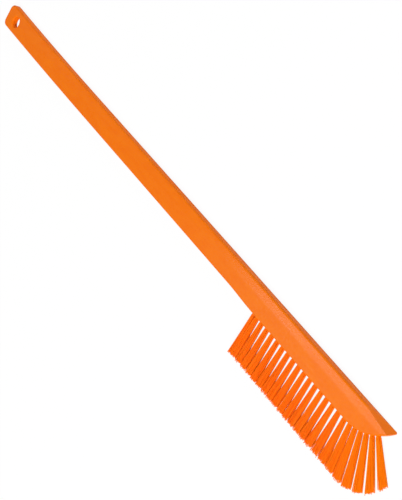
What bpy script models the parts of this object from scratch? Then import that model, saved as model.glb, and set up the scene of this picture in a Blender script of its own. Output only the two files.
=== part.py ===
"""Ultra-slim long-handled cleaning brush.

One flat moulding is both the handle and the brush block. A single row of filament
tufts stands in blind holes in the block's edge. Each tuft is folded in its hole and
held by a flat anchor wire across the fold. The tufts fan out round the curved nose,
which is bevelled on its upper side.

The brush lies on its flat side: +X runs from the hanging end to the nose,
+Y from the bristles to the back edge, and +Z through the thickness.
The origin is under the middle of the brush's outline, on the flat side.
"""

import math

import bmesh
import bpy
from mathutils import Matrix, Vector

# Sizes of the moulding, in metres, measured from the hanging end and the back edge
BODY_LENGTH = 0.5827
THICKNESS = 0.006
HANDLE_HEIGHT = 0.01965
BLOCK_HEIGHT = 0.0203
HANDLE_EDGE_RADIUS = 0.0016
BLOCK_EDGE_RADIUS = 0.0008
LOWER_EDGE_RADIUS = 0.0003
END_CORNER_RADIUS = 0.0046
BACK_SWEEP_RISE = 0.0019
FRONT_SWEEP_RISE = 0.0014
SWEEP_LENGTH = 0.15
HEEL_START = 0.3882
HEEL_LENGTH = 0.033
NOSE_RADIUS = 0.0484
NOSE_TIP_RADIUS = 0.001
NOSE_BEVEL_LENGTH = 0.0355
NOSE_BEVEL_DROP = 0.005

# Hanging hole
HANG_HOLE_DIAMETER = 0.0094
HANG_HOLE_SETBACK = 0.0162
HANG_HOLE_RIM_RADIUS = 0.0015

# Tuft holes and the row that they stand in
TUFT_HOLE_DIAMETER = 0.0034
TUFT_HOLE_DEPTH = 0.009
RUN_COUNT = 16
RUN_PITCH = 0.00713
RUN_END_SETBACK = 0.00175
NOSE_COUNT = 6
NOSE_PITCH = 0.00533
HEEL_PITCH = 0.0065
HEEL_END_PITCH = 0.0039

# Fan of the tufts towards the nose
FAN_STEPS = 9
FAN_END_ANGLE = math.radians(48.5)
FAN_EASE = 1.87

# Anchor wires
ANCHOR_THICKNESS = 0.0003
ANCHOR_HEIGHT = 0.0017
ANCHOR_TURN = math.radians(35)

# Tufts, and the outline that their tips are trimmed to
SEAT_CLEARANCE = 0.0003
BRISTLE_LENGTH = 0.0355
TRIM_RADIUS = 0.038
TRIM_CURVE_SETBACK = 0.018
TRIM_UNEVENNESS = 0.0006
STRAND_ROOT_RADIUS = 0.00019
STRAND_TIP_RADIUS = 0.00036
STRAND_MARGIN = 0.00005
TIP_GAP = 0.00012
HEEL_TUFT_FLARE = 0.0011
FOLD_HEIGHT = 0.0011
FOLD_WIDTH_SHARE = 0.45

# Strands of a tuft: how many stand in each ring, and the ring's share of the spread
STRAND_RING_SHARES = ((6, 0.45), (12, 1.0))

# How finely the round stretches are divided
STRAND_SIDES = 3
PLUG_SIDES = 12
TUFT_HOLE_SIDES = 24
HANG_HOLE_SIDES = 48
CORNER_STEPS = 6
SWEEP_STEPS = 10
HEEL_STEPS = 8
NOSE_STEPS = 20
EDGE_STEPS = 4
RIM_STEPS = 4
OVERRUN = 0.001

# Sizes that follow from those above
TUFT_HOLE_RADIUS = TUFT_HOLE_DIAMETER / 2
HANG_HOLE_RADIUS = HANG_HOLE_DIAMETER / 2
PLUG_RADIUS = TUFT_HOLE_RADIUS - SEAT_CLEARANCE
MID_PLANE = THICKNESS / 2
NOSE_REACH = math.sqrt(NOSE_RADIUS**2 - (NOSE_RADIUS - BLOCK_HEIGHT) ** 2)
NOSE_START = BODY_LENGTH - NOSE_REACH


# Materials

def linear(channel):
    """One sRGB channel, 0 to 255, as a linear value."""
    share = channel / 255
    if share <= 0.04045:
        return share / 12.92
    return ((share + 0.055) / 1.055) ** 2.4


def make_material(name, red, green, blue, roughness, metallic):
    """A plain finish of this sRGB colour."""
    material = bpy.data.materials.new(name)
    material.use_nodes = True
    shader = material.node_tree.nodes["Principled BSDF"]
    shader.inputs["Base Color"].default_value = (linear(red), linear(green), linear(blue), 1)
    shader.inputs["Roughness"].default_value = roughness
    shader.inputs["Metallic"].default_value = metallic
    return material


# Objects

def clear_scene():
    for obj in list(bpy.data.objects):
        bpy.data.objects.remove(obj, do_unlink=True)


def add_object(name, mesh, parent, material=None):
    obj = bpy.data.objects.new(name, mesh)
    bpy.context.scene.collection.objects.link(obj)
    obj.parent = parent
    if material and not mesh.materials:
        mesh.materials.append(material)
    return obj


def mesh_from(bm, name, smooth_angle=math.radians(30)):
    """The finished mesh of a bmesh, outward facing and shaded smooth between its sharp edges."""
    bmesh.ops.recalc_face_normals(bm, faces=bm.faces)
    mesh = bpy.data.meshes.new(name)
    bm.to_mesh(mesh)
    bm.free()
    mesh.shade_smooth()
    mesh.set_sharp_from_angle(angle=smooth_angle)
    return mesh


def close_loop(verts):
    """Each vertex of a closed loop with the next one."""
    return list(zip(verts, verts[1:] + verts[:1]))


def hide_cutter(obj):
    obj.hide_render = True
    obj.display_type = "WIRE"


def cut_with(obj, cutter):
    modifier = obj.modifiers.new("cut " + cutter.name, "BOOLEAN")
    modifier.operation = "DIFFERENCE"
    modifier.solver = "EXACT"
    modifier.object = cutter


# Outline of the moulding, seen from its upper side

def swept(x, level, rise):
    """Where an edge at this level runs, this far from the hanging end. The sweep lifts it by the rise."""
    remaining = max(0, 1 - x / SWEEP_LENGTH)
    return level + rise * remaining**2


def arc_points(centre, radius, start, end, steps):
    """Points along an arc, both ends included."""
    points = []
    for step in range(steps + 1):
        angle = start + (end - start) * step / steps
        points.append((centre[0] + radius * math.cos(angle), centre[1] + radius * math.sin(angle)))
    return points


def swept_arc(centre_y, rise, start, end):
    """A corner of the hanging end, raised with the sweep."""
    centre = (END_CORNER_RADIUS, centre_y)
    corner = arc_points(centre, END_CORNER_RADIUS, start, end, CORNER_STEPS)
    return [(x, swept(x, y, rise)) for x, y in corner]


def swept_edge(level, rise):
    """One long edge of the handle from the corner to where the sweep runs out."""
    points = []
    for step in range(1, SWEEP_STEPS + 1):
        x = END_CORNER_RADIUS + (SWEEP_LENGTH - END_CORNER_RADIUS) * step / SWEEP_STEPS
        points.append((x, swept(x, level, rise)))
    return points


def heel_points():
    """The soft step from the handle's lower edge down to the block's."""
    step_down = BLOCK_HEIGHT - HANDLE_HEIGHT
    points = []
    for step in range(HEEL_STEPS + 1):
        share = step / HEEL_STEPS
        eased = (1 - math.cos(math.pi * share)) / 2
        points.append((HEEL_START + HEEL_LENGTH * share, -HANDLE_HEIGHT - step_down * eased))
    return points


def nose_points():
    """The nose's curve, which meets the back edge in a small round tip."""
    centre_y = NOSE_RADIUS - BLOCK_HEIGHT
    inner = NOSE_RADIUS - NOSE_TIP_RADIUS
    drop = centre_y + NOSE_TIP_RADIUS
    tip_x = NOSE_START + math.sqrt(inner**2 - drop**2)
    tip_angle = math.atan2(-drop, tip_x - NOSE_START)
    curve = arc_points((NOSE_START, centre_y), NOSE_RADIUS, -math.pi / 2, tip_angle, NOSE_STEPS)
    tip = arc_points((tip_x, -NOSE_TIP_RADIUS), NOSE_TIP_RADIUS, tip_angle, math.pi / 2, CORNER_STEPS)
    return curve + tip[1:]


def body_outline():
    lower_centre = END_CORNER_RADIUS - HANDLE_HEIGHT
    lower_corner = swept_arc(lower_centre, FRONT_SWEEP_RISE, math.pi, 3 * math.pi / 2)
    upper_corner = swept_arc(-END_CORNER_RADIUS, BACK_SWEEP_RISE, math.pi / 2, math.pi)
    lower_edge = swept_edge(-HANDLE_HEIGHT, FRONT_SWEEP_RISE)
    bevel_start = [(BODY_LENGTH - NOSE_BEVEL_LENGTH, 0)]
    upper_edge = bevel_start + swept_edge(0, BACK_SWEEP_RISE)[::-1]
    return lower_corner + lower_edge + heel_points() + nose_points() + upper_edge + upper_corner


# Moulding

def upper_radius(x, y):
    """Radius of the upper edge: full along the handle and the back, small where tuft holes come near."""
    if y >= 0 and x <= BODY_LENGTH - NOSE_BEVEL_LENGTH:
        return HANDLE_EDGE_RADIUS
    share = min(1, max(0, (x - HEEL_START) / HEEL_LENGTH))
    return HANDLE_EDGE_RADIUS + (BLOCK_EDGE_RADIUS - HANDLE_EDGE_RADIUS) * share


def inset_point(before, point, after, distance):
    """The outline's point moved inwards, square to the outline."""
    normals = []
    for start, end in ((before, point), (point, after)):
        step = (Vector(end) - Vector(start)).normalized()
        normals.append(Vector((-step.y, step.x)))
    mitre = (normals[0] + normals[1]) / (1 + normals[0].dot(normals[1]))
    return Vector(point) + mitre * distance


def rounded_rings():
    """The outline at every level of the rounded edges, from the flat side to the upper side."""
    outline = body_outline()
    neighbours = list(zip(outline[-1:] + outline[:-1], outline, outline[1:] + outline[:1]))
    rings = []
    for upper in (False, True):
        for step in range(EDGE_STEPS + 1):
            angle = math.pi / 2 * step / EDGE_STEPS
            ring = []
            for before, point, after in neighbours:
                if upper:
                    radius = upper_radius(*point)
                    inset, z = radius * (1 - math.cos(angle)), THICKNESS - radius * (1 - math.sin(angle))
                else:
                    radius = LOWER_EDGE_RADIUS
                    inset, z = radius * (1 - math.sin(angle)), radius * (1 - math.cos(angle))
                x, y = inset_point(before, point, after, inset)
                ring.append((x, y, z))
            rings.append(ring)
    return rings


def bevel_nose(bm):
    """Cuts the slope from the upper side to the back, which widens towards the nose tip."""
    start = Vector((BODY_LENGTH - NOSE_BEVEL_LENGTH, 0, THICKNESS))
    low = Vector((BODY_LENGTH, -NOSE_BEVEL_DROP, THICKNESS))
    far = Vector((BODY_LENGTH, 0, 0))
    normal = (low - start).cross(far - start).normalized()
    if normal.z < 0:
        normal.negate()
    everything = bm.verts[:] + bm.edges[:] + bm.faces[:]
    cut = bmesh.ops.bisect_plane(
        bm, geom=everything, plane_co=start, plane_no=normal, dist=SEAT_CLEARANCE / 1000, clear_outer=True
    )
    rim = [item for item in cut["geom_cut"] if isinstance(item, bmesh.types.BMEdge)]
    bmesh.ops.edgeloop_fill(bm, edges=rim)


def body_mesh():
    bm = bmesh.new()
    rings = [[bm.verts.new(corner) for corner in ring] for ring in rounded_rings()]
    for lower, higher in zip(rings, rings[1:]):
        for (a, b), (c, d) in zip(close_loop(lower), close_loop(higher)):
            bm.faces.new((a, b, d, c))
    bm.faces.new(rings[0][::-1])
    bm.faces.new(rings[-1])
    bevel_nose(bm)
    return mesh_from(bm, "handle_and_block")


def hang_hole_mesh():
    """A turned cutter whose ends flare to leave a rounded rim at both faces."""
    profile = [(0, -OVERRUN), (HANG_HOLE_RADIUS + HANG_HOLE_RIM_RADIUS, -OVERRUN)]
    for step in range(RIM_STEPS + 1):
        angle = math.pi / 2 * step / RIM_STEPS
        flare = HANG_HOLE_RIM_RADIUS * (1 - math.sin(angle))
        rise = HANG_HOLE_RIM_RADIUS * (1 - math.cos(angle))
        profile.append((HANG_HOLE_RADIUS + flare, rise))
    upper = [(radius, THICKNESS - z) for radius, z in profile]
    profile += upper[::-1]
    bm = bmesh.new()
    verts = [bm.verts.new((radius, 0, z)) for radius, z in profile]
    edges = [bm.edges.new(pair) for pair in zip(verts, verts[1:])]
    bmesh.ops.spin(
        bm, geom=verts + edges, cent=(0, 0, 0), axis=(0, 0, 1), angle=2 * math.pi, steps=HANG_HOLE_SIDES
    )
    bmesh.ops.remove_doubles(bm, verts=bm.verts, dist=HANG_HOLE_RIM_RADIUS / 1000)
    return mesh_from(bm, "hanging_hole_cutter")


# Places of the tufts along the block's lower edge

def block_station(distance):
    """The point of the block's edge this far past the start of the nose's curve."""
    angle = max(0, distance) / NOSE_RADIUS
    x = NOSE_START + min(0, distance) + NOSE_RADIUS * math.sin(angle)
    y = -BLOCK_HEIGHT + NOSE_RADIUS * (1 - math.cos(angle))
    return x, y


def row_distances():
    """Distances of the tufts past the start of the nose, from the heel to the nose."""
    run = [-RUN_END_SETBACK - RUN_PITCH * index for index in range(RUN_COUNT)][::-1]
    heel = [run[0] - HEEL_PITCH - HEEL_END_PITCH, run[0] - HEEL_PITCH]
    first = run[-1] + (RUN_PITCH + NOSE_PITCH) / 2
    nose = [first + NOSE_PITCH * index for index in range(NOSE_COUNT)]
    return heel + run + nose


def fan_angle(index, count):
    """The lean of the tuft at this place in the row."""
    step = max(0, index - (count - 1 - FAN_STEPS))
    return FAN_END_ANGLE * (step / FAN_STEPS) ** FAN_EASE


def tuft_places():
    """Distance and lean of every tuft."""
    distances = row_distances()
    return [(distance, fan_angle(index, len(distances))) for index, distance in enumerate(distances)]


def place_in_hole(obj, distance, lean):
    """Stands an object in its hole, its own +Z pointing out of the mouth."""
    x, y = block_station(distance)
    obj.location = (x, y, MID_PLANE)
    obj.rotation_euler = (math.pi / 2, 0, lean)


def tuft_hole_mesh():
    """A drill along its own Z, from the hole's bottom to past its mouth."""
    bm = bmesh.new()
    length = TUFT_HOLE_DEPTH + OVERRUN
    bmesh.ops.create_cone(
        bm,
        cap_ends=True,
        segments=TUFT_HOLE_SIDES,
        radius1=TUFT_HOLE_RADIUS,
        radius2=TUFT_HOLE_RADIUS,
        depth=length,
    )
    bmesh.ops.translate(bm, verts=bm.verts, vec=(0, 0, length / 2 - TUFT_HOLE_DEPTH))
    return mesh_from(bm, "tuft_hole_cutter")


def all_tuft_holes(places, drill):
    """Every tuft hole as one cutter, in the moulding's own frame."""
    bm = bmesh.new()
    guide = bpy.data.objects.new("tuft_hole_guide", drill)
    for distance, lean in places:
        place_in_hole(guide, distance, lean)
        before = len(bm.verts)
        bm.from_mesh(drill)
        bm.verts.ensure_lookup_table()
        bmesh.ops.transform(bm, matrix=guide.matrix_basis, verts=bm.verts[before:])
    bpy.data.objects.remove(guide)
    return mesh_from(bm, "tuft_hole_cutters")


# Anchor wires and tufts

def box_mesh(name, length, width, height, middle):
    """A box along X, with its middle at this height."""
    bm = bmesh.new()
    bmesh.ops.create_cube(bm, size=1)
    bmesh.ops.scale(bm, verts=bm.verts, vec=(length, width, height))
    bmesh.ops.translate(bm, verts=bm.verts, vec=(0, 0, middle))
    bmesh.ops.rotate(bm, verts=bm.verts, cent=(0, 0, 0), matrix=Matrix.Rotation(ANCHOR_TURN, 3, "Z"))
    return mesh_from(bm, name)


def anchor_middle():
    """Where the anchor wire's middle lies below the hole's mouth, as a height."""
    return -(TUFT_HOLE_DEPTH - SEAT_CLEARANCE - FOLD_HEIGHT - SEAT_CLEARANCE - ANCHOR_HEIGHT / 2)


def anchor_mesh():
    """A cut length of flat wire that spans the hole."""
    return box_mesh("anchor", PLUG_RADIUS * 2, ANCHOR_THICKNESS, ANCHOR_HEIGHT, anchor_middle())


def anchor_slot_mesh():
    """The room for the wire in the folded tuft, open at both of its ends."""
    margin = SEAT_CLEARANCE * 2
    return box_mesh(
        "anchor_slot_cutter",
        PLUG_RADIUS * 2 + OVERRUN,
        ANCHOR_THICKNESS + margin,
        ANCHOR_HEIGHT + margin,
        anchor_middle(),
    )


def ring_points(radius_x, radius_y, count, turn):
    """Points round an ellipse, first point turned by this many steps."""
    points = []
    for index in range(count):
        angle = 2 * math.pi * (index + turn) / count
        points.append((radius_x * math.cos(angle), radius_y * math.sin(angle)))
    return points


def strand_triangle(bm, centre, radius, facing, z):
    """One end of a strand."""
    verts = []
    for corner in range(STRAND_SIDES):
        angle = facing + 2 * math.pi * corner / STRAND_SIDES
        x = centre[0] + radius * math.cos(angle)
        y = centre[1] + radius * math.sin(angle)
        verts.append(bm.verts.new((x, y, z)))
    return verts


def trim_reach(x, y, heading):
    """How far it is from this point, along this heading from -Y towards +X, to the trimmed outline."""
    step_x, step_y = math.sin(heading), -math.cos(heading)
    level = -BLOCK_HEIGHT - BRISTLE_LENGTH
    curve_start = BODY_LENGTH - TRIM_CURVE_SETBACK
    reach = (level - y) / step_y
    if x + reach * step_x <= curve_start:
        return reach
    off_x, off_y = x - curve_start, y - (level + TRIM_RADIUS)
    along = off_x * step_x + off_y * step_y
    return -along + math.sqrt(along**2 - (off_x**2 + off_y**2 - TRIM_RADIUS**2))


def add_strands(bm, distance, lean, tip_start, tip_end):
    """The strands, from the plug's mouth to tips that fill this stretch of X. Returns the root edges."""
    root_x, root_y = block_station(distance)
    tuft_reach = trim_reach(root_x, root_y, lean)
    flat_to_centre = PLUG_RADIUS * math.cos(math.pi / PLUG_SIDES)
    root_reach = flat_to_centre - STRAND_ROOT_RADIUS - STRAND_MARGIN
    spread_x = (tip_end - tip_start) / 2 - STRAND_TIP_RADIUS
    shift = (tip_start + tip_end) / 2
    spread_y = THICKNESS / 2 - TIP_GAP - STRAND_TIP_RADIUS
    roots = []
    strand = 0
    for ring, (count, share) in enumerate(STRAND_RING_SHARES):
        bases = ring_points(root_reach * share, root_reach * share, count, ring / 2)
        tips = ring_points(spread_x * share, spread_y * share, count, ring / 2)
        for base, tip in zip(bases, tips):
            facing = math.atan2(base[1], base[0])
            splay = math.atan2(tip[0] + shift - base[0], tuft_reach)
            start = (root_x + base[0] * math.cos(lean), root_y + base[0] * math.sin(lean))
            reach = trim_reach(start[0], start[1], lean + splay) - TRIM_UNEVENNESS * (strand * 2 % 3) / 2
            length = reach * math.cos(splay)
            run = length / tuft_reach
            end = (base[0] + (tip[0] + shift - base[0]) * run, base[1] + (tip[1] - base[1]) * run)
            low = strand_triangle(bm, base, STRAND_ROOT_RADIUS, facing, 0)
            high = strand_triangle(bm, end, STRAND_TIP_RADIUS, facing, length)
            for (a, b), (c, d) in zip(close_loop(low), close_loop(high)):
                bm.faces.new((a, b, d, c))
            bm.faces.new(high)
            roots += [bm.edges.get(pair) for pair in close_loop(low)]
            strand += 1
    return roots


def add_plug(bm):
    """The folded root down to the hole's bottom. Returns the edges of its open mouth."""
    depth = TUFT_HOLE_DEPTH - SEAT_CLEARANCE
    rings = []
    for z, narrow in ((0, 1), (FOLD_HEIGHT - depth, 1), (-depth, FOLD_WIDTH_SHARE)):
        points = ring_points(PLUG_RADIUS, PLUG_RADIUS * narrow, PLUG_SIDES, 0.5)
        turned = [Vector((x, y, z)) @ Matrix.Rotation(-ANCHOR_TURN, 3, "Z") for x, y in points]
        rings.append([bm.verts.new(point) for point in turned])
    for upper, lower in zip(rings, rings[1:]):
        for (a, b), (c, d) in zip(close_loop(upper), close_loop(lower)):
            bm.faces.new((a, b, d, c))
    bm.faces.new(rings[-1])
    return [bm.edges.get(pair) for pair in close_loop(rings[0])]


def tuft_mesh(name, distance, lean, tip_start, tip_end):
    """A tuft about its own Z: plug below zero, strands above, all one body."""
    bm = bmesh.new()
    mouth = add_plug(bm)
    roots = add_strands(bm, distance, lean, tip_start, tip_end)
    bmesh.ops.triangle_fill(bm, use_beauty=True, use_dissolve=False, edges=mouth + roots)
    return mesh_from(bm, name)


# Assembly

def place_origin(root, body, tufts):
    """Moves the brush so that the origin lies under the middle of its outline, on its flat side."""
    bpy.context.view_layer.update()
    corners = []
    for obj in [body] + tufts:
        corners += [obj.matrix_world @ vert.co for vert in obj.data.vertices]
    lowest = [min(corner[axis] for corner in corners) for axis in range(3)]
    highest = [max(corner[axis] for corner in corners) for axis in range(3)]
    root.location = (-(lowest[0] + highest[0]) / 2, -(lowest[1] + highest[1]) / 2, -lowest[2])
    bpy.context.view_layer.update()


def main():
    clear_scene()
    plastic = make_material("orange_polypropylene", 246, 122, 34, 0.5, 0)
    filament = make_material("orange_polyester_filament", 250, 104, 14, 0.45, 0)
    steel = make_material("stainless_steel_wire", 176, 178, 180, 0.3, 1)

    root = bpy.data.objects.new("brush", None)
    bpy.context.scene.collection.objects.link(root)

    places = tuft_places()
    body = add_object("handle_and_block", body_mesh(), root, plastic)
    hang_cutter = add_object("hanging_hole_cutter", hang_hole_mesh(), root)
    back = swept(HANG_HOLE_SETBACK, 0, BACK_SWEEP_RISE)
    front = swept(HANG_HOLE_SETBACK, -HANDLE_HEIGHT, FRONT_SWEEP_RISE)
    hang_cutter.location = (HANG_HOLE_SETBACK, (back + front) / 2, 0)
    tuft_cutter = add_object("tuft_hole_cutters", all_tuft_holes(places, tuft_hole_mesh()), root)
    for cutter in (hang_cutter, tuft_cutter):
        hide_cutter(cutter)
        cut_with(body, cutter)

    half_width = min(RUN_PITCH, HEEL_PITCH) / 2 - TIP_GAP
    heel_start, heel_end = -PLUG_RADIUS - HEEL_TUFT_FLARE, HEEL_END_PITCH - half_width - TIP_GAP * 2
    wire_mesh = anchor_mesh()
    slot_mesh = anchor_slot_mesh()
    tufts = []
    for index, (distance, lean) in enumerate(places):
        number = f"{index + 1:02d}"
        tip_range = (heel_start, heel_end) if index == 0 else (-half_width, half_width)
        tuft = add_object("tuft_" + number, tuft_mesh("tuft", distance, lean, *tip_range), root, filament)
        anchor = add_object("anchor_" + number, wire_mesh, root, steel)
        slot = add_object("anchor_slot_cutter_" + number, slot_mesh, root)
        for piece in (tuft, anchor, slot):
            place_in_hole(piece, distance, lean)
        hide_cutter(slot)
        cut_with(tuft, slot)
        tufts.append(tuft)
    place_origin(root, body, tufts)


main()
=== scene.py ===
"""Looks of the slim long-handled cleaning brush.

The flat moulding and the anchor wires are the CAD parts with finished materials. Every
CAD tuft is replaced by a tuft of folded filaments, set in the same hole over the same
wire and trimmed to the same outline. The brush lies on a plain pale floor.
"""

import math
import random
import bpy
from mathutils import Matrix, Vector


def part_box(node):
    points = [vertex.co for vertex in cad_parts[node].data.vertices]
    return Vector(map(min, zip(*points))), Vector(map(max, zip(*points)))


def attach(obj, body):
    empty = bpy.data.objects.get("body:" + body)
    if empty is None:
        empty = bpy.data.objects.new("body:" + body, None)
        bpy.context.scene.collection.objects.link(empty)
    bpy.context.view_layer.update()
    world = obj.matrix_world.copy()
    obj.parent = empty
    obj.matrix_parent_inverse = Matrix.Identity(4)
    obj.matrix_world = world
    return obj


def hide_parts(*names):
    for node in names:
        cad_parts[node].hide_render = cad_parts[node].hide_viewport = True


bl_info = {
    "name": "Slim Cleaning Brush",
    "version": (1, 0, 0),
    "blender": (4, 5, 0),
    "location": "3D View > Sidebar > Brush",
    "description": "Finishes the moulding, filament tufts and anchor wires, and sets the stage",
    "category": "Object",
}

import bpy
import numpy as np
from bpy.props import (
    FloatProperty,
    FloatVectorProperty,
    IntProperty,
    PointerProperty,
    StringProperty,
)
from bpy.types import Operator, Panel, PropertyGroup
from mathutils import Matrix, Vector

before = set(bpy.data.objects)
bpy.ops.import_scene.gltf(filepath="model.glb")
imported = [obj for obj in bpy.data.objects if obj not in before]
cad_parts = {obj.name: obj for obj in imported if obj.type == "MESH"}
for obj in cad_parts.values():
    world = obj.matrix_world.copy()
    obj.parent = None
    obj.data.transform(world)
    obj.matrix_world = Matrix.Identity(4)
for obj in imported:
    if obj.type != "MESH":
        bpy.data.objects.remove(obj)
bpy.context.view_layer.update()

BODY_NODE = "handle_and_block"
BODY_LOW, BODY_HIGH = (Vector(corner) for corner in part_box(BODY_NODE))
TUFT_NUMBERS = sorted(name[-2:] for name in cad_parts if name.startswith("tuft_"))

# A straight filament: its sides, and the distance between its rings
FILAMENT_SIDES = 4
RING_STEP = 0.001

# Where a folded filament has its rings: at these shares of each leg's length, beside the
# wire's top, and at these angles round the wire's lower edge
LEG_SHARES = (1.0, 0.7, 0.4, 0.15, 0.05, 0.0)
FOLD_ANGLES = (0, 90, 180)

# Distance between a bundle's rings of filaments, in filament diameters
RING_CLOSENESS = 0.95

# The sideways lean at which fanned tips spread in full, and how much a further lean takes back
FAN_ONSET = 0.04
FAN_EASING = 0.7

# Share of a leg's spread that comes late, towards its tip
LATE_SPREAD = 0.2

# Share of the tips that stray, and how many times as far as the others they do so
STRAY_SHARE = 0.05
STRAY_FACTOR = 3

# How far tips may stand out at the upper side, as a multiple of the waviness
UPPER_PLAY = 2

# A filament's colour between deep and pale: a random tone, plus painted light that a full sideways
# lean adds, as fanned tufts are painted paler
SHADE_RANDOM = 0.5
LEAN_PAINTED_LIGHT = 0.65

# Keeps the random numbers of one seed's tufts apart from those of the next seed
SEED_STEP = 100

# The values that most of a noise texture lies between, and a narrower range for more contrast
NOISE_VALUES = (0.3, 0.7)
NOISE_MIDDLE = (0.35, 0.65)

# Roughness of each surface, from its smoothest to its roughest places
SATIN_ROUGHNESS = (0.22, 0.38)
FILAMENT_ROUGHNESS = (0.38, 0.52)
WIRE_ROUGHNESS = (0.22, 0.38)
FLOOR_ROUGHNESS = (0.85, 0.95)

# Roughness of the moulding's edges on the handle and on the block, and the stretch of X
# over which the first becomes the second
EDGE_ROUGHNESS = (0.52, 0.38)
EDGE_WEAR_STRETCH = (0, 0.12)

# The smoother band along the back: how far from the moulding's rearmost point it begins and
# is in full, and the share of the roughness that it leaves
BAND_START = 0.011
BAND_FULL = 0.008
BAND_SHARE = 0.55

# Where an edge turns into a flat side, as shares of the half thickness
SIDE_START = (0.85, 0.98)

# Share of the floor that is plain white to what looks at it directly
FLOOR_WHITENESS = 0.94
WHITE = (1, 1, 1, 1)

# The point that the lamps face: this share of the way from the middle to the nose
LAMP_AIM = 0.7

# The camera: its place from the low corner of the moulding's box, its right, up and backward
# directions, and the nearest that it sees
CAMERA_OFFSET = Vector((1.1749, 0.4451, 0.8730))
CAMERA_AXES = (
    (0.5002, 0.4790, -0.7214),
    (-0.5752, 0.8065, 0.1366),
    (0.6472, 0.3466, 0.6789),
)
CAMERA_NEAREST = 0.01


# Sizes and colours that a user would change

class TuftSizes(PropertyGroup):
    """Sizes of the filament tufts."""

    filament_diameter: FloatProperty(
        name="Filament diameter",
        description="Diameter of one filament",
        default=0.0004,
        unit="LENGTH",
    )
    squeezed_diameter: FloatProperty(
        name="Squeezed diameter",
        description="Diameter of the bundle where the hole squeezes it",
        default=0.0033,
        unit="LENGTH",
    )
    bundle_diameter: FloatProperty(
        name="Bundle diameter",
        description="Diameter of the bundle where it has swollen, just below the hole",
        default=0.0039,
        unit="LENGTH",
    )
    wire_thickness: FloatProperty(
        name="Wire thickness",
        description="Thickness of the anchor wire that the filaments are folded over",
        default=0.0003,
        unit="LENGTH",
    )
    wire_height: FloatProperty(
        name="Wire height",
        description="Height of the anchor wire along the hole",
        default=0.0017,
        unit="LENGTH",
    )
    wire_depth: FloatProperty(
        name="Wire depth",
        description="Depth of the anchor wire's middle below the hole's mouth",
        default=0.00645,
        unit="LENGTH",
    )
    bristle_length: FloatProperty(
        name="Bristle length",
        description="Trimmed length of the straight run's bristles below the block",
        default=0.0355,
        unit="LENGTH",
    )
    trim_radius: FloatProperty(
        name="Trim radius",
        description="Radius of the trimmed outline round the nose",
        default=0.038,
        unit="LENGTH",
    )
    trim_setback: FloatProperty(
        name="Trim setback",
        description="Distance from the nose tip back to the start of the trimmed curve",
        default=0.018,
        unit="LENGTH",
    )
    tip_width: FloatProperty(
        name="Tip width",
        description="Width of a tuft at its tips, along the row",
        default=0.0071,
        unit="LENGTH",
    )
    fan_spread: FloatProperty(
        name="Fan spread",
        description="How much wider the tips of a fanned tuft spread, where the fan starts",
        default=0.002,
        unit="LENGTH",
    )
    tip_depth: FloatProperty(
        name="Tip depth",
        description="Width of a tuft at its tips, across the row",
        default=0.0056,
        unit="LENGTH",
    )
    heel_tip_width: FloatProperty(
        name="Heel tip width",
        description="Width of the heel tuft at its tips, along the row",
        default=0.0052,
        unit="LENGTH",
    )
    heel_tip_shift: FloatProperty(
        name="Heel tip shift",
        description="How far the heel tuft's tips are pushed towards the hanging end",
        default=0.0001,
        unit="LENGTH",
    )
    parting: FloatProperty(
        name="Parting",
        description="Share of a tuft's tip width that lies open between its two halves",
        default=0.07,
        min=0,
        max=0.5,
        subtype="FACTOR",
    )
    unevenness: FloatProperty(
        name="Unevenness",
        description="How far the trimmed tips differ in length",
        default=0.00045,
        unit="LENGTH",
    )
    waviness: FloatProperty(
        name="Waviness",
        description="How far a filament wanders from its straight line",
        default=0.00006,
        unit="LENGTH",
    )
    seed: IntProperty(
        name="Seed",
        description="Start of the random differences between filaments",
        default=7,
    )


class FinishColours(PropertyGroup):
    """Colours of the brush and its stage."""

    moulding: StringProperty(
        name="Moulding",
        description="Colour of the moulded polypropylene, as an sRGB hex value",
        default="#E46A04",
    )
    moulding_pale: StringProperty(
        name="Moulding, pale",
        description="Colour of its paler clouds, as an sRGB hex value",
        default="#E77208",
    )
    filament: StringProperty(
        name="Filament",
        description="Colour of the filaments, as an sRGB hex value",
        default="#FF8A08",
    )
    filament_deep: StringProperty(
        name="Filament, deep",
        description="Colour of the deepest-coloured filaments, as an sRGB hex value",
        default="#FF6800",
    )
    wire: StringProperty(
        name="Wire",
        description="Colour of the stainless anchor wire, as an sRGB hex value",
        default="#B9BABC",
    )
    floor: StringProperty(
        name="Floor",
        description="Colour of the floor, as an sRGB hex value",
        default="#F4F4F3",
    )


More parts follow.
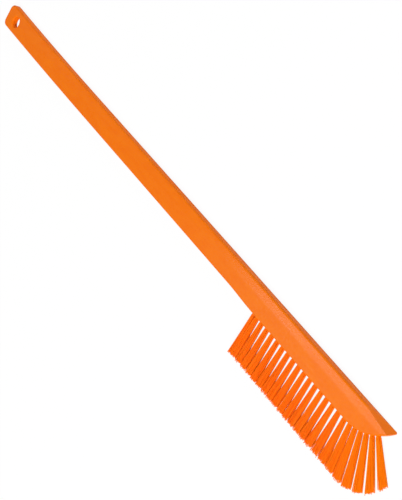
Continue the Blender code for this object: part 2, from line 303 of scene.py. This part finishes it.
class StageSizes(PropertyGroup):
    """Places and levels of the stage's floor, lamps and camera."""

    floor_size: FloatProperty(
        name="Floor size",
        description="Side of the square floor",
        default=8.0,
        unit="LENGTH",
    )
    sheen_place: FloatVectorProperty(
        name="Sheen lamp place",
        description="Middle of the soft lamp that the block's face mirrors",
        default=(-0.61, -0.51, 1.1),
        subtype="XYZ_LENGTH",
    )
    sheen_width: FloatProperty(
        name="Sheen lamp width",
        description="Side of that lamp along the brush",
        default=0.4,
        unit="LENGTH",
    )
    sheen_height: FloatProperty(
        name="Sheen lamp height",
        description="Other side of that lamp",
        default=0.2,
        unit="LENGTH",
    )
    sheen_power: FloatProperty(
        name="Sheen lamp power",
        description="Power of that lamp",
        default=2.5,
        unit="POWER",
    )
    front_place: FloatVectorProperty(
        name="Front lamp place",
        description="Middle of the soft lamp beside the camera",
        default=(2.2, -0.9, 1.9),
        subtype="XYZ_LENGTH",
    )
    front_size: FloatProperty(
        name="Front lamp size",
        description="Side of that lamp",
        default=1.5,
        unit="LENGTH",
    )
    front_power: FloatProperty(
        name="Front lamp power",
        description="Power of that lamp",
        default=106.0,
        unit="POWER",
    )
    back_place: FloatVectorProperty(
        name="Back lamp place",
        description="Middle of the soft lamp that lights the back edge",
        default=(-0.68, 1.4, 0.57),
        subtype="XYZ_LENGTH",
    )
    back_width: FloatProperty(
        name="Back lamp width",
        description="Side of that lamp along the brush",
        default=1.0,
        unit="LENGTH",
    )
    back_height: FloatProperty(
        name="Back lamp height",
        description="Other side of that lamp",
        default=0.4,
        unit="LENGTH",
    )
    back_power: FloatProperty(
        name="Back lamp power",
        description="Power of that lamp",
        default=10.0,
        unit="POWER",
    )
    sky_level: FloatProperty(
        name="Sky level",
        description="Brightness of the even light from all round",
        default=0.25,
        min=0,
    )
    camera_place: FloatVectorProperty(
        name="Camera place",
        description="Place of the camera",
        default=BODY_LOW + CAMERA_OFFSET,
        subtype="XYZ_LENGTH",
    )
    camera_lens: FloatProperty(
        name="Camera lens",
        description="Focal length of the camera",
        default=122.905,
        unit="CAMERA",
    )


# Helpers

def linear_colour(hex_value):
    """An sRGB hex value as a linear colour."""
    channels = []
    for start in (1, 3, 5):
        share = int(hex_value[start:start + 2], 16) / 255
        channels.append(share / 12.92 if share <= 0.04045 else ((share + 0.055) / 1.055) ** 2.4)
    return (*channels, 1.0)


def per_metre(millimetres):
    """The texture scale at which one feature is this wide."""
    return 1000 / millimetres


def add_node(tree, kind, settings=None, inputs=None):
    """Adds a node. Each input is a plain value, or the socket that feeds it."""
    node = tree.nodes.new(kind)
    for name, value in (settings or {}).items():
        setattr(node, name, value)
    for name, value in (inputs or {}).items():
        if isinstance(value, bpy.types.NodeSocket):
            tree.links.new(value, node.inputs[name])
        else:
            node.inputs[name].default_value = value
    return node


def add_noise(tree, vector, width, detail, roughness=0.5):
    """The value socket of a noise texture whose features are this many millimetres wide."""
    inputs = {"Vector": vector, "Scale": per_metre(width), "Detail": detail, "Roughness": roughness}
    return add_node(tree, "ShaderNodeTexNoise", inputs=inputs).outputs["Fac"]


def remap(tree, value, source, target, settings=None):
    """The socket of a value that is mapped from one range onto another."""
    inputs = {
        "Value": value,
        "From Min": source[0],
        "From Max": source[1],
        "To Min": target[0],
        "To Max": target[1],
    }
    return add_node(tree, "ShaderNodeMapRange", settings, inputs).outputs["Result"]


def calculate(tree, operation, *values):
    """The socket of a calculation on one or two values."""
    inputs = dict(enumerate(values))
    return add_node(tree, "ShaderNodeMath", {"operation": operation}, inputs).outputs[0]


def mix_colours(tree, share, first, second):
    """The socket of a mix of two sRGB hex colours."""
    # A Mix node has sockets for every kind of value: colours go in at 6 and 7, and out at 2
    inputs = {0: share, 6: linear_colour(first), 7: linear_colour(second)}
    return add_node(tree, "ShaderNodeMix", {"data_type": "RGBA"}, inputs).outputs[2]


def new_material(name):
    """An empty node material and its output node."""
    material = bpy.data.materials.new(name)
    material.use_nodes = True
    material.node_tree.nodes.clear()
    output = add_node(material.node_tree, "ShaderNodeOutputMaterial")
    return material, material.node_tree, output


def deselect_all():
    """Leaves edit mode and clears the selection."""
    if bpy.context.object and bpy.context.object.mode != "OBJECT":
        bpy.ops.object.mode_set(mode="OBJECT")
    bpy.ops.object.select_all(action="DESELECT")


def set_material(obj, material):
    """Puts one material on the whole object."""
    if not obj.material_slots:
        obj.data.materials.append(material)
    for slot in obj.material_slots:
        slot.material = material


# Materials

def polypropylene_material(colours):
    """Injection-moulded polypropylene.

    It is satin on the flat sides, where the tool was polished, and matt on the edges.
    """
    material, tree, output = new_material("moulded_polypropylene")
    place = add_node(tree, "ShaderNodeTexCoord").outputs["Object"]
    # Clouds in the pigment, about 6 mm across and drawn out along the flow of the melt
    flow = add_node(tree, "ShaderNodeMapping", inputs={"Vector": place, "Scale": (0.35, 1, 1)})
    clouds = add_noise(tree, flow.outputs["Vector"], width=6, detail=5, roughness=0.75)
    cloud_share = remap(tree, clouds, NOISE_MIDDLE, (0, 1))
    base = mix_colours(tree, cloud_share, colours.moulding, colours.moulding_pale)
    # Unevenness of the skin where it met the tool. The real one is near 0.5 mm wide, and it
    # is drawn at 2 mm so that it shows
    skin = add_noise(tree, place, width=2, detail=3, roughness=0.7)
    satin = remap(tree, skin, NOISE_VALUES, SATIN_ROUGHNESS)
    # The flat sides are rubbed smoother along the back. On the block this band is 6 mm wide,
    # and it fades out over another 3 mm
    across = add_node(tree, "ShaderNodeSeparateXYZ", inputs={"Vector": place})
    band = remap(
        tree,
        across.outputs["Y"],
        (BODY_HIGH.y - BAND_START, BODY_HIGH.y - BAND_FULL),
        (1, BAND_SHARE),
        {"interpolation_type": "SMOOTHSTEP"},
    )
    rubbed = calculate(tree, "MULTIPLY", satin, band)
    # The edges are matt along the handle, and worn smoother towards the block
    worn = remap(tree, across.outputs["X"], EDGE_WEAR_STRETCH, EDGE_ROUGHNESS)
    middle = (BODY_LOW.z + BODY_HIGH.z) / 2
    height = calculate(tree, "SUBTRACT", across.outputs["Z"], middle)
    off_middle = calculate(tree, "ABSOLUTE", height)
    half_thickness = (BODY_HIGH.z - BODY_LOW.z) / 2
    side_start = [half_thickness * share for share in SIDE_START]
    rough = remap(tree, off_middle, side_start, (worn, rubbed))
    bump = add_node(
        tree,
        "ShaderNodeBump",
        inputs={"Height": skin, "Strength": 0.3, "Distance": 0.00008},
    )
    shader = add_node(
        tree,
        "ShaderNodeBsdfPrincipled",
        inputs={
            "Base Color": base,
            "Roughness": rough,
            "Normal": bump.outputs["Normal"],
            "IOR": 1.49,
            "Specular IOR Level": 0.06,
        },
    )
    tree.links.new(shader.outputs["BSDF"], output.inputs["Surface"])
    return material


def polyester_material(colours):
    """Extruded polyester filament, smooth and a little glossy. Each one has its own random tone,
    and the filaments of fanned tufts are painted paler, as painted light.
    """
    material, tree, output = new_material("extruded_polyester_filament")
    place = add_node(tree, "ShaderNodeTexCoord").outputs["Object"]
    tone_and_painted_light = add_node(tree, "ShaderNodeAttribute", {"attribute_name": "tone_and_painted_light"}).outputs["Fac"]
    # Scuffs left by crimping and trimming, about 2 mm long
    scuffs = add_noise(tree, place, width=2, detail=2)
    # Painted light: the mix takes each filament's random tone, plus a paler colour painted on
    # fanned tufts for the light between their filaments
    base = mix_colours(tree, tone_and_painted_light, colours.filament_deep, colours.filament)
    rough = remap(tree, scuffs, NOISE_VALUES, FILAMENT_ROUGHNESS)
    shader = add_node(
        tree,
        "ShaderNodeBsdfPrincipled",
        inputs={
            "Base Color": base,
            "Roughness": rough,
            "IOR": 1.55,
            "Specular IOR Level": 0.05,
        },
    )
    tree.links.new(shader.outputs["BSDF"], output.inputs["Surface"])
    return material


def wire_material(colours):
    """Cold-rolled stainless flat wire: bright, with fine lines along its length from the rolls."""
    material, tree, output = new_material("rolled_stainless_wire")
    place = add_node(tree, "ShaderNodeTexCoord").outputs["Object"]
    # Roll lines, 0.05 mm apart and many times as long
    rolled = add_node(tree, "ShaderNodeMapping", inputs={"Vector": place, "Scale": (0.05, 1, 0.05)})
    lines = add_noise(tree, rolled.outputs["Vector"], width=0.05, detail=1)
    rough = remap(tree, lines, NOISE_VALUES, WIRE_ROUGHNESS)
    shader = add_node(
        tree,
        "ShaderNodeBsdfPrincipled",
        inputs={"Base Color": linear_colour(colours.wire), "Metallic": 1, "Roughness": rough},
    )
    tree.links.new(shader.outputs["BSDF"], output.inputs["Surface"])
    return material


def floor_material(colours):
    """Painted studio floor: pale and matt. What looks at it directly sees mostly plain white."""
    material, tree, output = new_material("painted_floor")
    place = add_node(tree, "ShaderNodeTexCoord").outputs["Object"]
    # Roller texture of the paint, about 4 mm
    texture = add_noise(tree, place, width=4, detail=2)
    rough = remap(tree, texture, (0, 1), FLOOR_ROUGHNESS)
    paint = add_node(
        tree,
        "ShaderNodeBsdfPrincipled",
        inputs={
            "Base Color": linear_colour(colours.floor),
            "Roughness": rough,
            "Specular IOR Level": 0,
        },
    )
    white = add_node(tree, "ShaderNodeEmission", inputs={"Color": WHITE, "Strength": 1})
    share = calculate(tree, "MULTIPLY", seen_directly(tree), FLOOR_WHITENESS)
    mix = add_node(
        tree,
        "ShaderNodeMixShader",
        inputs={0: share, 1: paint.outputs["BSDF"], 2: white.outputs["Emission"]},
    )
    tree.links.new(mix.outputs["Shader"], output.inputs["Surface"])
    return material


def seen_directly(tree):
    """The socket that is 1 for what the camera, a mirror or a clear body sees."""
    path = add_node(tree, "ShaderNodeLightPath").outputs
    mirrored = calculate(tree, "MAXIMUM", path["Is Camera Ray"], path["Is Glossy Ray"])
    return calculate(tree, "MAXIMUM", mirrored, path["Is Transmission Ray"])


# Filaments

def model_filament(sizes, material):
    """One filament as cut from the hank: straight, with square ends and a ring at every step."""
    deselect_all()
    # Each leg has its own rings and one beside the wire's top, and the fold has the rest
    rings = 2 * (len(LEG_SHARES) + 1) + len(FOLD_ANGLES)
    bpy.ops.mesh.primitive_circle_add(
        vertices=FILAMENT_SIDES,
        radius=sizes.filament_diameter / 2,
        fill_type="NGON",
    )
    filament = bpy.context.object
    filament.name = "filament"
    bpy.ops.object.mode_set(mode="EDIT")
    bpy.ops.mesh.select_all(action="SELECT")
    for _ in range(rings - 1):
        bpy.ops.mesh.extrude_region_move(TRANSFORM_OT_translate={"value": (0, 0, RING_STEP)})
    bpy.ops.mesh.select_all(action="SELECT")
    bpy.ops.mesh.normals_make_consistent(inside=False)
    bpy.ops.object.mode_set(mode="OBJECT")
    bpy.ops.object.shade_smooth()
    mesh = filament.data
    last = (rings - 1) * RING_STEP
    for edge in mesh.edges:
        heights = [mesh.vertices[index].co.z for index in edge.vertices]
        edge.use_edge_sharp = max(heights) < RING_STEP / 2 or min(heights) > last - RING_STEP / 2
    mesh.materials.append(material)
    # Holds each filament's random tone and the painted light of fanned tufts
    mesh.attributes.new("tone_and_painted_light", "FLOAT", "POINT")
    return filament


def hole_of(number, sizes):
    """The hole's mouth, the way out of it and the wire's direction, read from its anchor wire."""
    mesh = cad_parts["anchor_" + number].data
    # Each corner counts once, to the micrometre
    corners = np.unique(np.round([vert.co for vert in mesh.vertices], decimals=6), axis=0)
    middle = corners.mean(axis=0)
    wire, outward, _ = (Vector(axis) for axis in np.linalg.svd(corners - middle)[2])
    if outward.y > 0:
        outward.negate()
    if wire.z < 0:
        wire.negate()
    return Vector(middle) + outward * sizes.wire_depth, outward, wire


def trim_reach(point, heading, sizes):
    """How far it is from this point, along this heading, to the trimmed outline."""
    level = BODY_LOW.y - sizes.bristle_length
    curve_start = BODY_HIGH.x - sizes.trim_setback
    reach = (level - point.y) / heading.y
    if point.x + reach * heading.x <= curve_start:
        return reach
    off = Vector((point.x - curve_start, point.y - level - sizes.trim_radius))
    along = off.dot(heading.xy)
    return -along + math.sqrt(along**2 - (off.length_squared - sizes.trim_radius**2))


def bundle_reach(sizes):
    """How near to the wire and how far out a filament's middle lies, swollen and squeezed."""
    nearest = (sizes.wire_thickness + sizes.filament_diameter) / 2
    radius = (sizes.bundle_diameter - sizes.filament_diameter) / 2
    squeezed = (sizes.squeezed_diameter - sizes.filament_diameter) / 2
    return nearest, radius, squeezed


def leg_places(sizes):
    """Where the filaments stand on one side of the wire, as distances from it and along it."""
    pitch = sizes.filament_diameter
    nearest, radius, _ = bundle_reach(sizes)
    places = []
    while radius > nearest:
        count = int(math.pi * radius / pitch)
        for index in range(count):
            angle = math.pi * (index + 0.5) / count
            places.append((max(nearest, radius * math.sin(angle)), radius * math.cos(angle)))
        radius -= pitch * RING_CLOSENESS
    return places


def squeezed_place(place, sizes):
    """The place of a leg in the hole, where the bundle is squeezed against the wire."""
    away, aside = place
    nearest, radius, squeezed = bundle_reach(sizes)
    pressed = nearest + (away - nearest) * (squeezed - nearest) / (radius - nearest)
    return pressed, aside * squeezed / radius


def leg_points(hole, root, swollen, tip, sizes, chance):
    """Points of one leg, from its trimmed tip to the hole's mouth.

    The leg is given by its offsets across the hole: at the mouth, just below it where the
    bundle has swollen, and at the tip.
    """
    mouth, outward, across, up = hole
    start = mouth + across * swollen.x + up * swollen.y
    straight = trim_reach(mouth, outward, sizes)
    splay = (outward * straight + across * (tip.x - swollen.x)).normalized()
    length = trim_reach(start, splay, sizes) * splay.dot(outward)
    length += chance.gauss(0, sizes.unevenness)
    bow = Vector((chance.gauss(0, sizes.waviness), chance.gauss(0, sizes.waviness)))
    points = []
    for share in LEG_SHARES:
        reach = share * length
        run = reach / straight
        flare = (1 - LATE_SPREAD) * run + LATE_SPREAD * run**2
        # The leg bows most halfway along, where this is 1
        swing = 4 * share * (1 - share)
        offset = swollen + (tip - swollen) * flare + bow * swing if share else root
        points.append(mouth + outward * reach + across * offset.x + up * offset.y)
    return points


def bend_along(mesh, path, across):
    """Moves a straight filament's rings onto the points of a path."""
    for vert in mesh.vertices:
        ring = round(vert.co.z / RING_STEP)
        along = (path[min(ring + 1, len(path) - 1)] - path[max(ring - 1, 0)]).normalized()
        side = across.cross(along).normalized()
        vert.co = path[ring] + side * vert.co.x + along.cross(side) * vert.co.y


def fold_filament(filament, hole, wire, place, tips, sizes, chance):
    """A copy of the straight filament, folded over the wire with a leg on each side of it."""
    mouth, outward, across, up = hole
    square = wire.cross(outward).normalized()
    away, aside = squeezed_place(place, sizes)
    legs = []
    for side, tip in zip((1, -1), tips):
        offsets = [square * apart * side + wire * along for apart, along in ((away, aside), place)]
        root, swollen = (Vector((offset.dot(across), offset.dot(up))) for offset in offsets)
        legs.append(leg_points(hole, root, swollen, tip, sizes, chance))
    top = sizes.wire_depth - sizes.wire_height / 2
    bottom = sizes.wire_depth + sizes.wire_height / 2
    beside = [mouth - outward * top + square * away * side + wire * aside for side in (1, -1)]
    fold = []
    for angle in FOLD_ANGLES:
        turn = math.radians(angle)
        out = square * away * math.cos(turn) - outward * away * math.sin(turn)
        fold.append(mouth - outward * bottom + out + wire * aside)
    path = [*legs[0], beside[0], *fold, beside[1], *legs[1][::-1]]
    copy = bpy.data.objects.new("filament", filament.data.copy())
    bpy.context.collection.objects.link(copy)
    bend_along(copy.data, path, wire)
    # Painted light: fanned tufts stand open, so more light gets between their filaments, and this
    # is painted as a paler colour on top of each filament's random tone
    tone_and_painted_light = SHADE_RANDOM * chance.random() + LEAN_PAINTED_LIGHT * outward.x
    for item in copy.data.attributes["tone_and_painted_light"].data:
        item.value = tone_and_painted_light
    return copy


def tip_offset(place, side, turn, width, shift, sizes, chance):
    """Where a leg's tip ends up across the tuft, before it is trimmed."""
    away, aside = place
    nearest, radius, _ = bundle_reach(sizes)
    outwards = sizes.parting + (away - nearest) / (radius - nearest) * (1 - sizes.parting)
    spread = Vector((side * outwards, aside / radius))
    if spread.length > 1:
        spread.normalize()
    turned = Matrix.Rotation(turn, 2) @ spread
    stray = STRAY_FACTOR if chance.random() < STRAY_SHARE else 1
    loose = sizes.waviness * stray
    half_width = (width - sizes.filament_diameter) / 2
    half_depth = (sizes.tip_depth - sizes.filament_diameter) / 2
    x = turned.x * half_width + shift + chance.gauss(0, loose)
    y = turned.y * half_depth + chance.gauss(0, loose)
    # The floor stops the tips at the lower side, and the upper side has a little play
    highest = half_depth + UPPER_PLAY * sizes.waviness
    return Vector((x, max(-half_depth, min(highest, y))))


def fanned_width(outward, sizes):
    """Width of a tuft at its tips, which have room to spread where the row starts to fan."""
    onset = min(1, outward.x / FAN_ONSET)
    return sizes.tip_width + sizes.fan_spread * onset * (1 - FAN_EASING * outward.x)


def model_tuft(filament, number, sizes):
    """A tuft of folded filaments in its hole, as one piece."""
    chance = random.Random(sizes.seed * SEED_STEP + int(number))
    mouth, outward, wire = hole_of(number, sizes)
    up = Vector((0, 0, 1))
    across = up.cross(outward)
    hole = (mouth, outward, across, up)
    square = wire.cross(outward).normalized()
    # The two halves of the tuft are turned with the wire between them
    turn = math.atan2(square.dot(up), square.dot(across))
    is_heel = number == TUFT_NUMBERS[0]
    width = sizes.heel_tip_width if is_heel else fanned_width(outward, sizes)
    shift = -sizes.heel_tip_shift if is_heel else 0
    copies = []
    for place in leg_places(sizes):
        tips = [tip_offset(place, side, turn, width, shift, sizes, chance) for side in (1, -1)]
        copies.append(fold_filament(filament, hole, wire, place, tips, sizes, chance))
    deselect_all()
    for copy in copies:
        copy.select_set(True)
    bpy.context.view_layer.objects.active = copies[0]
    bpy.ops.object.join()
    tuft = bpy.context.object
    tuft.name = "filament_tuft_" + number
    tuft.data.name = tuft.name
    return tuft


# Stage

def add_lamp(name, place, width, height, power):
    """A soft lamp that faces the middle of the block, with its width along the brush."""
    back = (Vector(place) - Vector((BODY_HIGH.x * LAMP_AIM, 0, 0))).normalized()
    right = (Vector((1, 0, 0)) - back * back.x).normalized()
    turned = Matrix((right, back.cross(right), back)).transposed().to_euler()
    bpy.ops.object.light_add(type="AREA", location=place, rotation=turned)
    lamp = bpy.context.object
    lamp.name = name
    lamp.data.shape = "RECTANGLE"
    lamp.data.size = width
    lamp.data.size_y = height
    lamp.data.energy = power


def even_light(level):
    """Even light from all round, and plain white where it is looked at directly."""
    world = bpy.data.worlds.new("even_light")
    world.use_nodes = True
    tree = world.node_tree
    tree.nodes.clear()
    output = add_node(tree, "ShaderNodeOutputWorld")
    strength = remap(tree, seen_directly(tree), (0, 1), (level, 1))
    sky = add_node(tree, "ShaderNodeBackground", inputs={"Color": WHITE, "Strength": strength})
    tree.links.new(sky.outputs["Background"], output.inputs["Surface"])
    return world


def add_camera(stage):
    """The camera, in the place that it had for the photograph."""
    turned = Matrix(CAMERA_AXES).transposed().to_euler()
    bpy.ops.object.camera_add(location=stage.camera_place, rotation=turned)
    camera = bpy.context.object
    camera.name = "camera"
    camera.data.lens = stage.camera_lens
    camera.data.clip_start = CAMERA_NEAREST
    return camera


# Operators

class BRUSH_OT_finish_moulding(Operator):
    """Gives the one-piece handle and block its moulded finish"""

    bl_idname = "brush.finish_moulding"
    bl_label = "Finish Moulding"

    def execute(self, context):
        material = polypropylene_material(context.scene.brush_colours)
        set_material(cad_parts[BODY_NODE], material)
        return {"FINISHED"}


class BRUSH_OT_finish_wires(Operator):
    """Gives the anchor wires their rolled steel finish"""

    bl_idname = "brush.finish_wires"
    bl_label = "Finish Anchor Wires"

    def execute(self, context):
        material = wire_material(context.scene.brush_colours)
        for number in TUFT_NUMBERS:
            set_material(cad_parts["anchor_" + number], material)
        return {"FINISHED"}


class BRUSH_OT_set_tufts(Operator):
    """Models one filament, and sets folded copies of it as a tuft in every hole"""

    bl_idname = "brush.set_tufts"
    bl_label = "Set Tufts"

    def execute(self, context):
        sizes = context.scene.brush_tufts
        filament = model_filament(sizes, polyester_material(context.scene.brush_colours))
        for number in TUFT_NUMBERS:
            tuft = model_tuft(filament, number, sizes)
            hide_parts("tuft_" + number)
            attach(tuft, "root")
        bpy.data.objects.remove(filament, do_unlink=True)
        return {"FINISHED"}


class BRUSH_OT_set_stage(Operator):
    """Sets the floor, the soft light and the camera"""

    bl_idname = "brush.set_stage"
    bl_label = "Set Stage"

    def execute(self, context):
        stage = context.scene.brush_stage
        colours = context.scene.brush_colours
        deselect_all()
        bpy.ops.mesh.primitive_plane_add(size=stage.floor_size)
        floor = context.object
        floor.name = "floor"
        floor.data.materials.append(floor_material(colours))

        sheen = (stage.sheen_place, stage.sheen_width, stage.sheen_height, stage.sheen_power)
        front = (stage.front_place, stage.front_size, stage.front_size, stage.front_power)
        back = (stage.back_place, stage.back_width, stage.back_height, stage.back_power)
        add_lamp("sheen_lamp", *sheen)
        add_lamp("front_lamp", *front)
        add_lamp("back_lamp", *back)
        context.scene.world = even_light(stage.sky_level)
        context.scene.camera = add_camera(stage)
        context.scene.view_settings.view_transform = "Standard"
        return {"FINISHED"}


OPERATORS = (
    BRUSH_OT_finish_moulding,
    BRUSH_OT_finish_wires,
    BRUSH_OT_set_tufts,
    BRUSH_OT_set_stage,
)


class BRUSH_PT_pieces(Panel):
    """Sizes, colours and steps of the brush"""

    bl_idname = "BRUSH_PT_pieces"
    bl_label = "Cleaning Brush"
    bl_space_type = "VIEW_3D"
    bl_region_type = "UI"
    bl_category = "Brush"

    def draw(self, context):
        layout = self.layout
        scene = context.scene
        for operator in OPERATORS:
            layout.operator(operator.bl_idname)
        for group in (scene.brush_tufts, scene.brush_colours, scene.brush_stage):
            box = layout.box()
            for name in group.bl_rna.properties.keys():
                if name not in ("rna_type", "name"):
                    box.prop(group, name)


CLASSES = (TuftSizes, FinishColours, StageSizes, *OPERATORS, BRUSH_PT_pieces)


def register():
    for item in CLASSES:
        bpy.utils.register_class(item)
    bpy.types.Scene.brush_tufts = PointerProperty(type=TuftSizes)
    bpy.types.Scene.brush_colours = PointerProperty(type=FinishColours)
    bpy.types.Scene.brush_stage = PointerProperty(type=StageSizes)


def unregister():
    del bpy.types.Scene.brush_stage
    del bpy.types.Scene.brush_colours
    del bpy.types.Scene.brush_tufts
    for item in reversed(CLASSES):
        bpy.utils.unregister_class(item)


def main():
    register()
    bpy.ops.brush.finish_moulding()
    bpy.ops.brush.finish_wires()
    bpy.ops.brush.set_tufts()
    bpy.ops.brush.set_stage()


if __name__ == "__main__":
    main()
